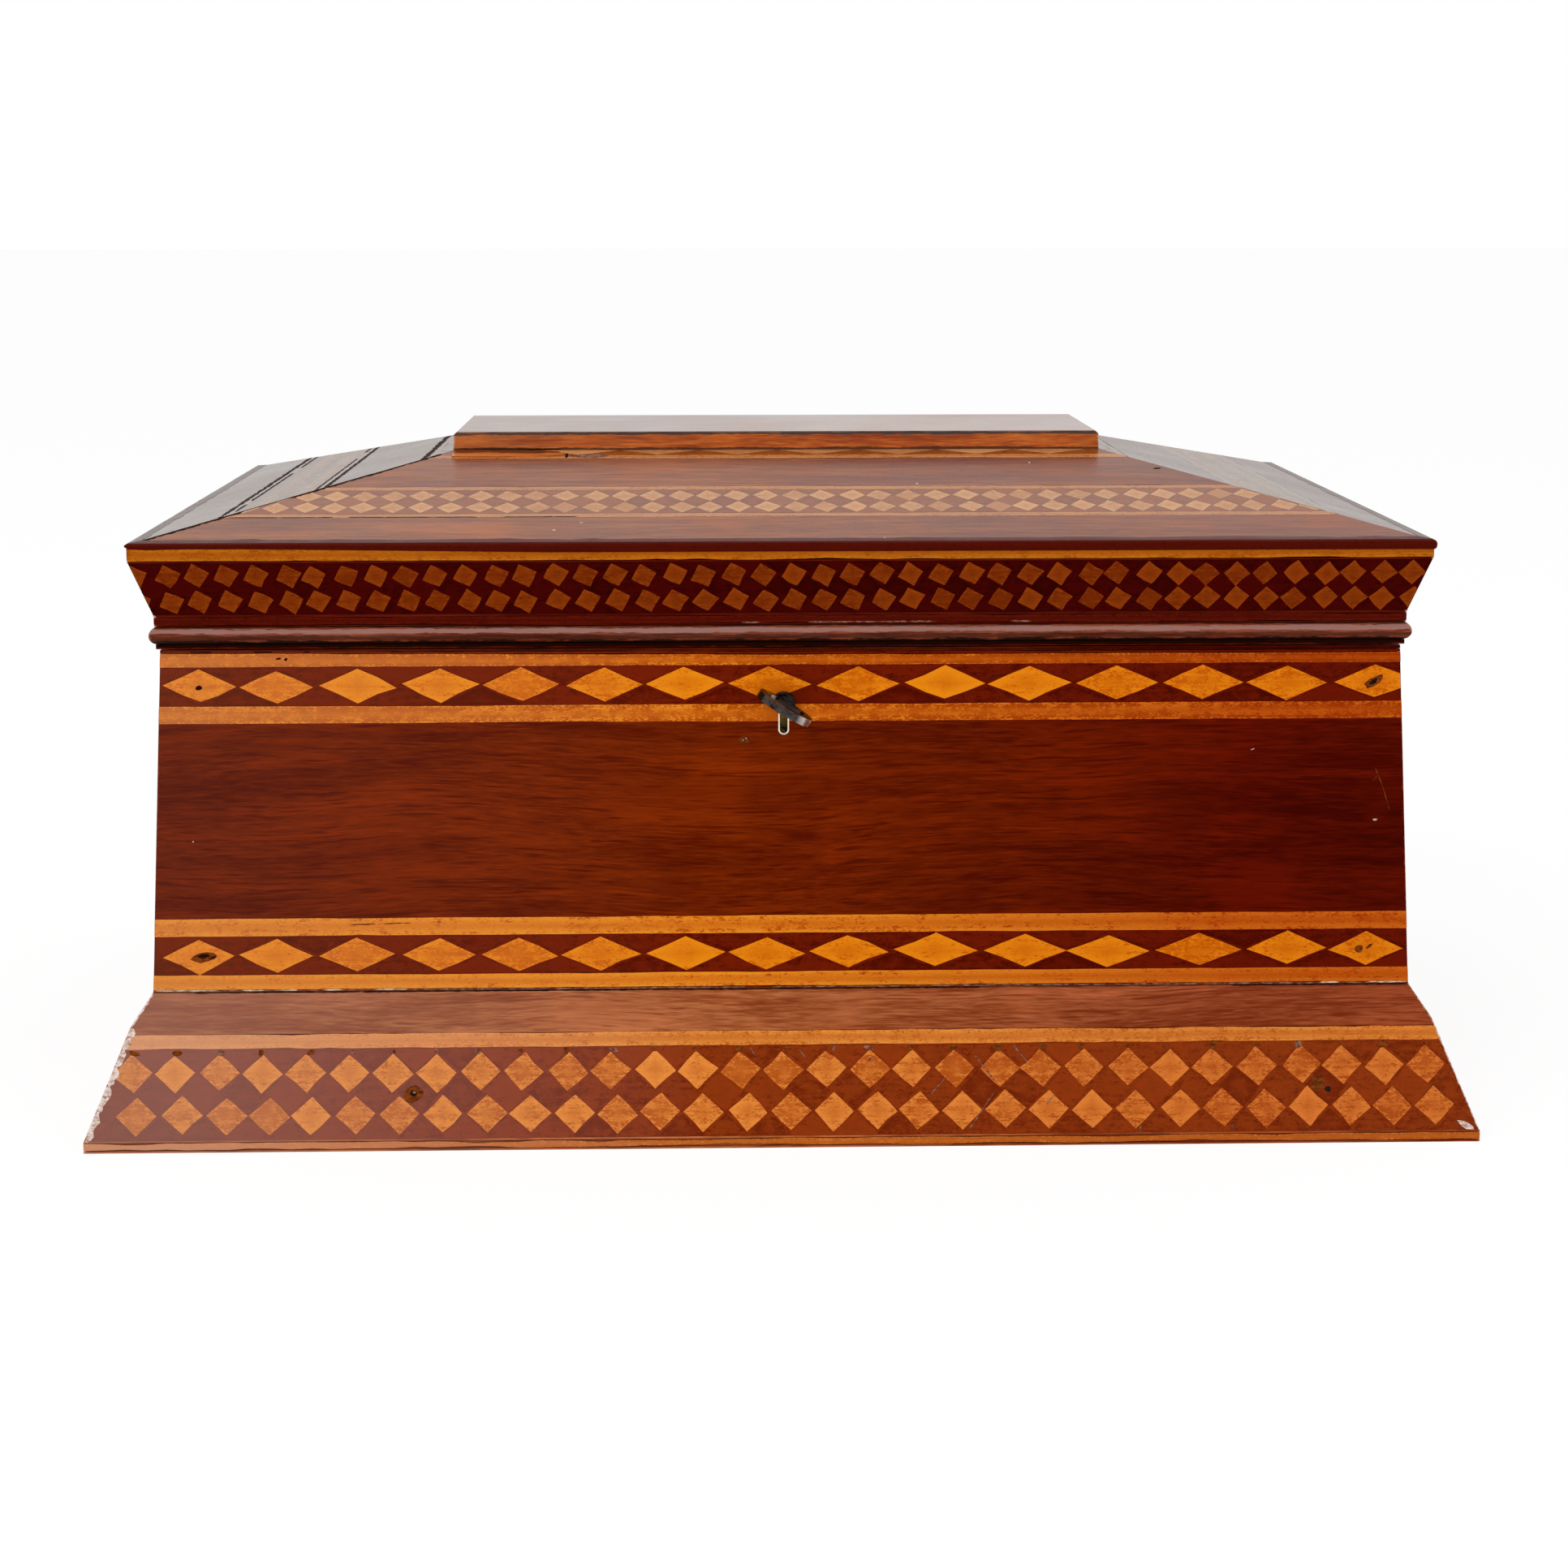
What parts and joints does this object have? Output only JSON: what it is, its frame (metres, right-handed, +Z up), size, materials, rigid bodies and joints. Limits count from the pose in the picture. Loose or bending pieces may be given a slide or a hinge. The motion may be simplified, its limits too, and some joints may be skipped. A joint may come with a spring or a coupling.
{
  "type": "marquetry box",
  "caption": "Wooden box with leaning sides on a flared plinth, hipped hinged lid with flat top plate, diamond and checker inlay, box lock and key.",
  "frame": {"origin": "middle of the underside, on the surface the box stands on", "axes": "+X to the right seen from the keyhole side, -Y out of the keyhole side, +Z up"},
  "size_m": [0.34, 0.23, 0.1667],
  "materials": {
    "mahogany": "french polished, worn",
    "dark_veneer": "french polished",
    "light_veneer": "french polished",
    "deal": "bare",
    "brass": "tarnished",
    "iron": "dark, rubbed bright at the edges",
    "lining_paper": "aged plain paper, matt"
  },
  "bodies": {
    "box": {"bottom_board": "deal", "front_board": "mahogany", "back_board": "mahogany", "left_board": "mahogany", "right_board": "mahogany", "plinth_front": "mahogany", "plinth_back": "mahogany", "plinth_left": "mahogany", "plinth_right": "mahogany", "body_strings": "light_veneer", "body_band_grounds": "dark_veneer", "body_diamonds": "light_veneer", "plinth_strings": "light_veneer", "plinth_band_grounds": "dark_veneer", "plinth_lozenges": "light_veneer", "corner_nails": "iron", "plinth_nails": "iron", "box_lining": "lining_paper", "keyhole_lining": "brass", "lock_plate": "brass", "lock_case": "brass", "lock_screws": "brass", "hinge_leaves_box": "brass", "hinge_pins": "iron", "hinge_screws_box": "brass"},
    "lid": {"lid_front": "mahogany", "lid_back": "mahogany", "lid_left": "mahogany", "lid_right": "mahogany", "bead_front": "mahogany", "bead_back": "mahogany", "bead_left": "mahogany", "bead_right": "mahogany", "slope_front": "mahogany", "slope_back": "mahogany", "slope_left": "mahogany", "slope_right": "mahogany", "crown_board": "deal", "top_plate": "mahogany", "plate_fillet": "mahogany", "cove_strings": "light_veneer", "cove_band_grounds": "dark_veneer", "cove_lozenges": "light_veneer", "slope_strings": "light_veneer", "slope_band_grounds": "dark_veneer", "slope_lozenges": "light_veneer", "crown_diamonds": "light_veneer", "hinge_leaves_lid": "brass", "hinge_screws_lid": "brass", "link_plate": "brass", "link_screws": "brass", "lid_lining": "lining_paper"},
    "bolt": {"bolt": "iron"},
    "key": {"key": "iron"}
  },
  "joints": [
    {"name": "lid_hinge", "type": "hinge", "parent": "box", "child": "lid", "pos_m": [0, 0.0969, 0.1201], "axis": [-1, 0, 0], "range_deg": [0, 100]},
    {"name": "key_turn", "type": "hinge", "parent": "box", "child": "key", "pos_m": [0, -0.0957, 0.1067], "axis": [0, -1, 0], "range_deg": [-59, 301]},
    {"name": "bolt_slide", "type": "slide", "parent": "box", "child": "bolt", "axis": [-1, 0, 0], "range_m": [-0.00082, 0.00418]}
  ],
  "couplings": [
    {"joint": "key_turn", "follows": "bolt_slide", "rad_per_m": 1256.6}
  ]
}
